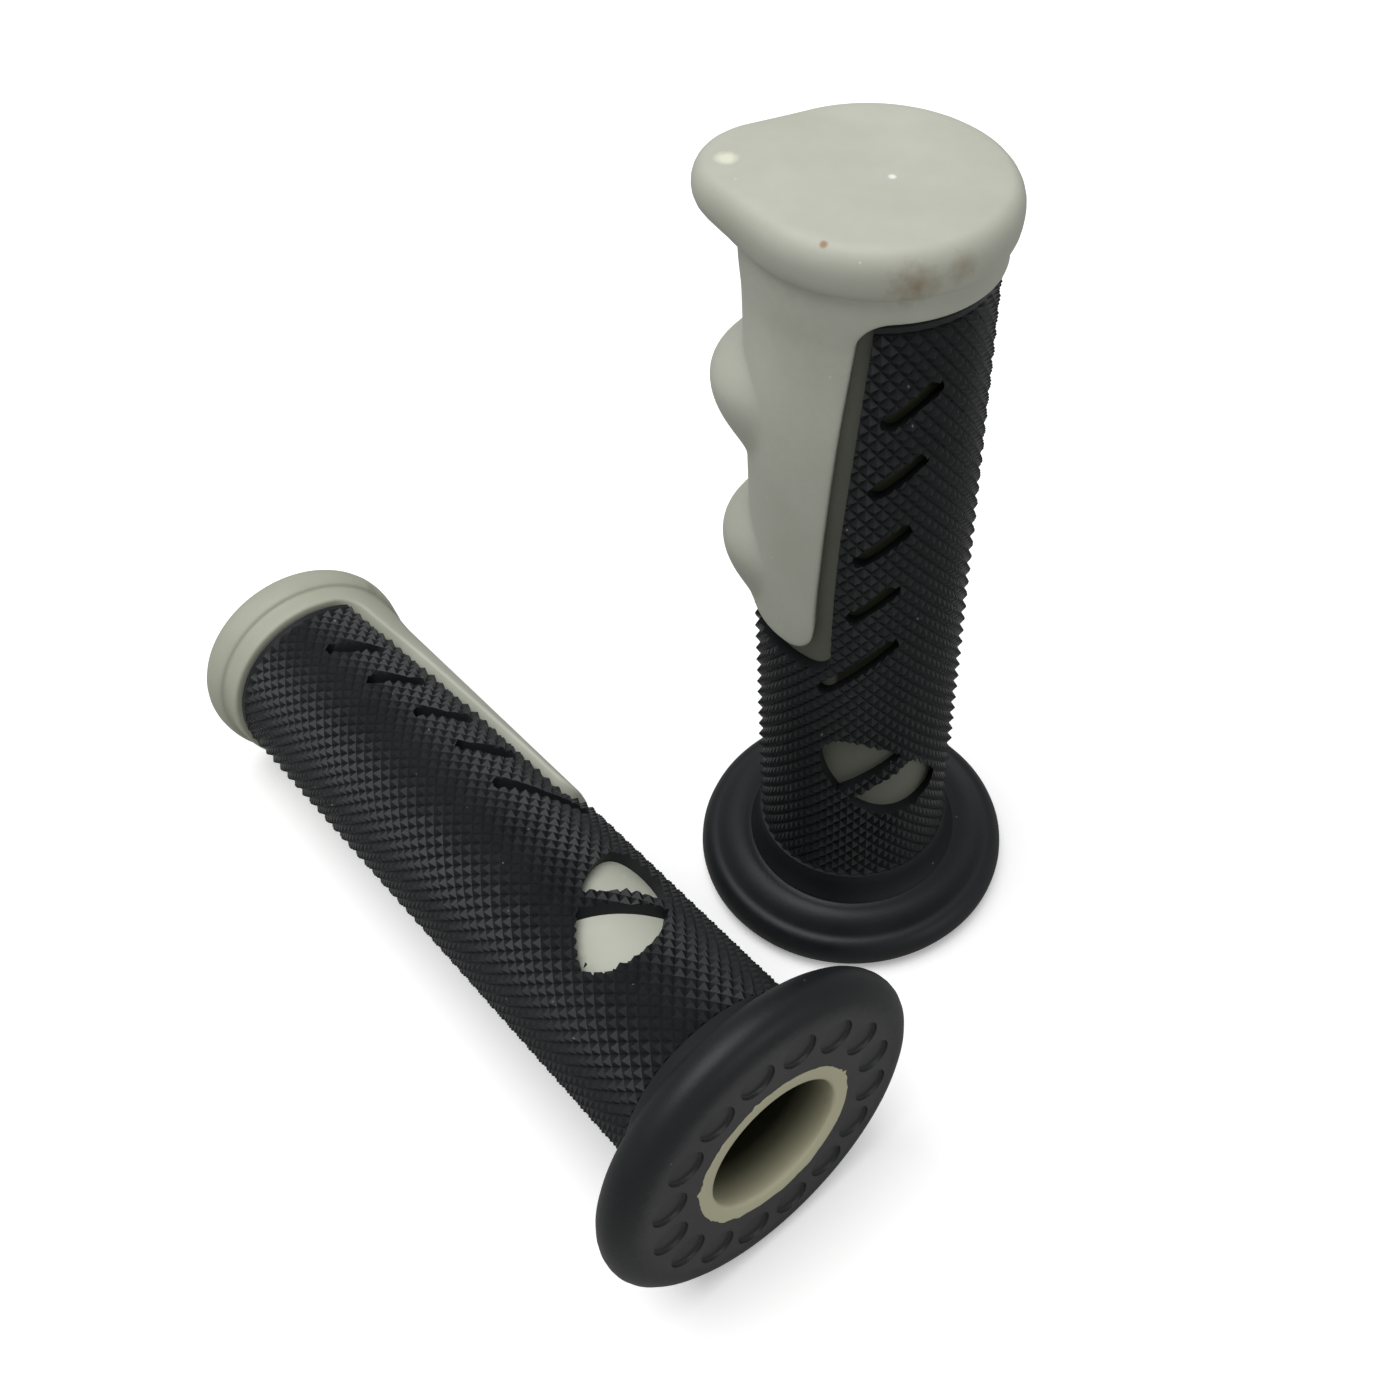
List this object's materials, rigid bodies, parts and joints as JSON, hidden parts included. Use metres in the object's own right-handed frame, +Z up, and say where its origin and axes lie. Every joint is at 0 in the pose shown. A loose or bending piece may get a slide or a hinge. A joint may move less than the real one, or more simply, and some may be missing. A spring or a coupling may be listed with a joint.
{
  "type": "handlebar grip pair",
  "caption": "Slip-on handlebar grips, right and left, each with a flange, a diamond-knurled sleeve, a finger panel and a closed teardrop end cap.",
  "frame": {"origin": "centre of the mouth of the right grip's bore, on the plane that its flange stands on", "axes": "+Z up along the right grip's bore, towards its closed end; the left grip lies at -X -Y"},
  "size_m": [0.1426, 0.1275, 0.1365],
  "materials": {
    "pale_rubber": "satin",
    "dark_rubber": "satin"
  },
  "bodies": {
    "root": {"right_grip_core": "pale_rubber", "right_grip_flange": "dark_rubber", "right_grip_sleeve": "dark_rubber", "left_grip_core": "pale_rubber", "left_grip_flange": "dark_rubber", "left_grip_sleeve": "dark_rubber"}
  },
  "joints": []
}
